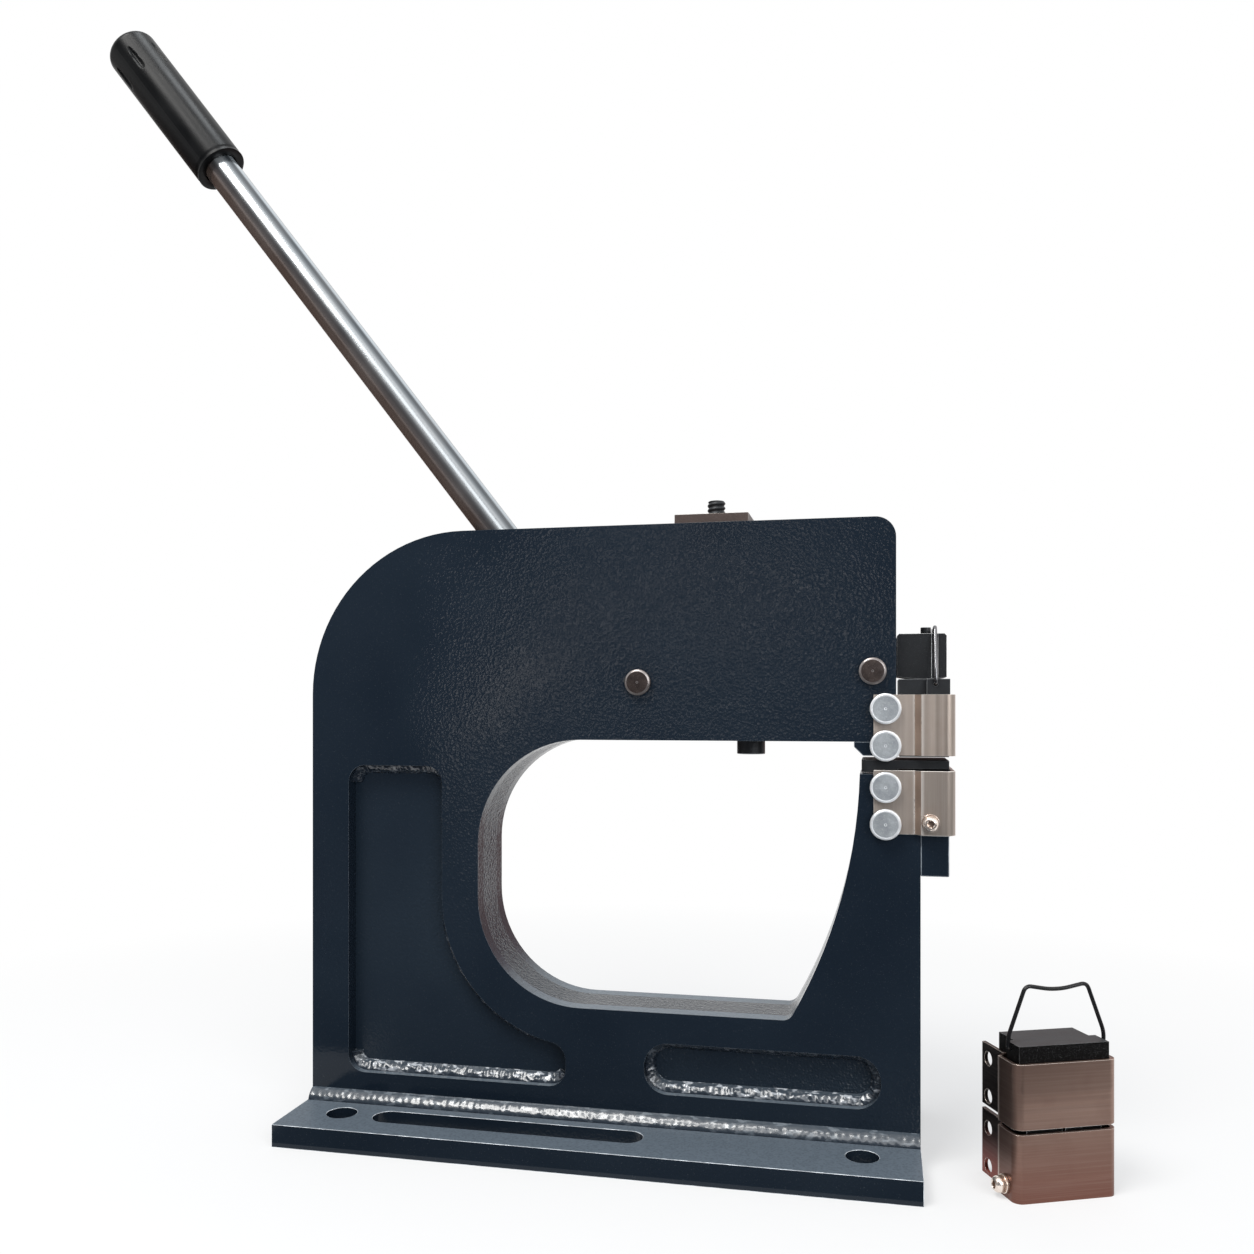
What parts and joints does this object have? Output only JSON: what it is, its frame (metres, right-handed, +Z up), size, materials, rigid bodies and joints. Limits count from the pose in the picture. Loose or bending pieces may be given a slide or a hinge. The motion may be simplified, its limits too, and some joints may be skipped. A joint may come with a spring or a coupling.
{
  "type": "shrinker stretcher",
  "caption": "Bench shrinker and stretcher with a deep-throat C-frame on a flat base, a long hand lever, wedge-backed sliding dies, and a second jaw set standing beside it.",
  "frame": {"origin": "centre of the underside of the base plate", "axes": "+X from the rear column to the jaws, +Z up, -Y towards the side with the flat bolt heads"},
  "size_m": [0.7548, 0.174, 0.8551],
  "materials": {
    "paint": "semi-gloss textured",
    "bare_steel": "satin",
    "pin_steel": "dark satin",
    "black_oxide": "black oxide, semi-gloss",
    "nickel": "satin nickel",
    "spare_nickel": "satin nickel",
    "zinc": "zinc plate",
    "chrome": "polished",
    "copper_tone": "yellow-passivated, bright",
    "bronze": "machined bronze",
    "grip": "soft black",
    "pad_rubber": "matt"
  },
  "bodies": {
    "frame": {"base_plate": "paint", "side_plate_front": "paint", "side_plate_back": "paint", "core_plate": "paint", "base_welds": "paint", "window_welds": "paint", "nose_block": "paint", "anvil_block": "paint", "lever_pin": "pin_steel", "rocker_pin": "pin_steel", "retaining_rings": "black_oxide", "spring_bar": "bare_steel", "bar_screws": "black_oxide", "spring_stud": "black_oxide", "return_spring": "bare_steel", "stop_bolt": "black_oxide", "upper_housing": "nickel", "lower_housing": "nickel", "housing_bolts": "zinc", "housing_nuts": "zinc", "clamp_screw": "copper_tone", "clamp_washer": "copper_tone", "lower_wedge": "black_oxide", "lower_die_pins": "bare_steel", "lower_die_pads": "pad_rubber", "spare_lower_housing": "spare_nickel", "spare_upper_housing": "spare_nickel", "spare_lower_wedge": "black_oxide", "spare_lower_dies": "black_oxide", "spare_lower_pins": "bare_steel", "spare_lower_pads": "pad_rubber", "spare_clamp_screw": "copper_tone", "spare_clamp_washer": "copper_tone"},
    "handle": {"lever_hub": "black_oxide", "lever_bush": "bronze", "handle_rod": "chrome", "rod_pin": "bare_steel", "hand_grip": "grip"},
    "rocker": {"rocker_beam": "black_oxide", "rocker_bush": "bronze", "ram_head": "black_oxide", "head_screw": "black_oxide", "roller_pin": "bare_steel"},
    "roller": {"cam_roller": "bare_steel"},
    "upper_jaw": {"upper_wedge": "black_oxide", "upper_die_pins": "bare_steel", "upper_die_pads": "pad_rubber"},
    "bail": {"jaw_bail": "black_oxide"},
    "upper_die_f": {"upper_die_front": "black_oxide"},
    "upper_die_b": {"upper_die_back": "black_oxide"},
    "lower_die_f": {"lower_die_front": "black_oxide"},
    "lower_die_b": {"lower_die_back": "black_oxide"},
    "spare_jaw": {"spare_upper_wedge": "black_oxide", "spare_upper_dies": "black_oxide", "spare_upper_pins": "bare_steel", "spare_upper_pads": "pad_rubber"},
    "spare_loop": {"spare_bail": "black_oxide"}
  },
  "joints": [
    {"name": "handle_swing", "type": "hinge", "parent": "frame", "child": "handle", "pos_m": [0.029, 0, 0.328], "axis": [0, 1, 0], "range_deg": [0, 46]},
    {"name": "rocker_tilt", "type": "hinge", "parent": "frame", "child": "rocker", "pos_m": [0.1915, 0, 0.335], "axis": [0, 1, 0], "range_deg": [0, 5.6], "deforming": ["return_spring"]},
    {"name": "roller_spin", "type": "hinge", "parent": "rocker", "child": "roller", "pos_m": [0.063, 0, 0.352], "axis": [0, 1, 0], "range_deg": [-134, 0]},
    {"name": "jaw_slide", "type": "slide", "parent": "frame", "child": "upper_jaw", "axis": [0, 0, -1], "range_m": [0, 0.0037]},
    {"name": "bail_swing", "type": "hinge", "parent": "upper_jaw", "child": "bail", "pos_m": [0.2326, 0, 0.3259], "axis": [0, 1, 0], "range_deg": [0, 4.2]},
    {"name": "upper_front_die_slide", "type": "slide", "parent": "upper_jaw", "child": "upper_die_f", "axis": [0, 0.3567, 0.9342], "range_m": [0, 0.0013], "deforming": ["upper_die_pads"]},
    {"name": "upper_back_die_slide", "type": "slide", "parent": "upper_jaw", "child": "upper_die_b", "axis": [0, -0.3567, 0.9342], "range_m": [0, 0.0013]},
    {"name": "lower_front_die_slide", "type": "slide", "parent": "frame", "child": "lower_die_f", "axis": [0, 0.3567, -0.9342], "range_m": [0, 0.001], "deforming": ["lower_die_pads"]},
    {"name": "lower_back_die_slide", "type": "slide", "parent": "frame", "child": "lower_die_b", "axis": [0, -0.3567, -0.9342], "range_m": [0, 0.001]},
    {"name": "spare_jaw_lift", "type": "slide", "parent": "frame", "child": "spare_jaw", "axis": [0, 0, 1], "range_m": [0, 0.004]},
    {"name": "spare_bail_swing", "type": "hinge", "parent": "spare_jaw", "child": "spare_loop", "pos_m": [0.30645, -0.04615, 0.0939], "axis": [0.9164, 0.4004, 0], "range_deg": [-60, 60]}
  ],
  "couplings": [
    {"joint": "rocker_tilt", "follows": "handle_swing", "ratio": 0.11957},
    {"joint": "roller_spin", "follows": "handle_swing", "ratio": -2.9},
    {"joint": "jaw_slide", "follows": "handle_swing", "m_per_rad": 0.004484},
    {"joint": "bail_swing", "follows": "handle_swing", "ratio": 0.083},
    {"joint": "upper_front_die_slide", "follows": "handle_swing", "m_per_rad": 0.001619},
    {"joint": "upper_back_die_slide", "follows": "handle_swing", "m_per_rad": 0.001619},
    {"joint": "lower_front_die_slide", "follows": "handle_swing", "m_per_rad": 0.0012455},
    {"joint": "lower_back_die_slide", "follows": "handle_swing", "m_per_rad": 0.0012455}
  ]
}
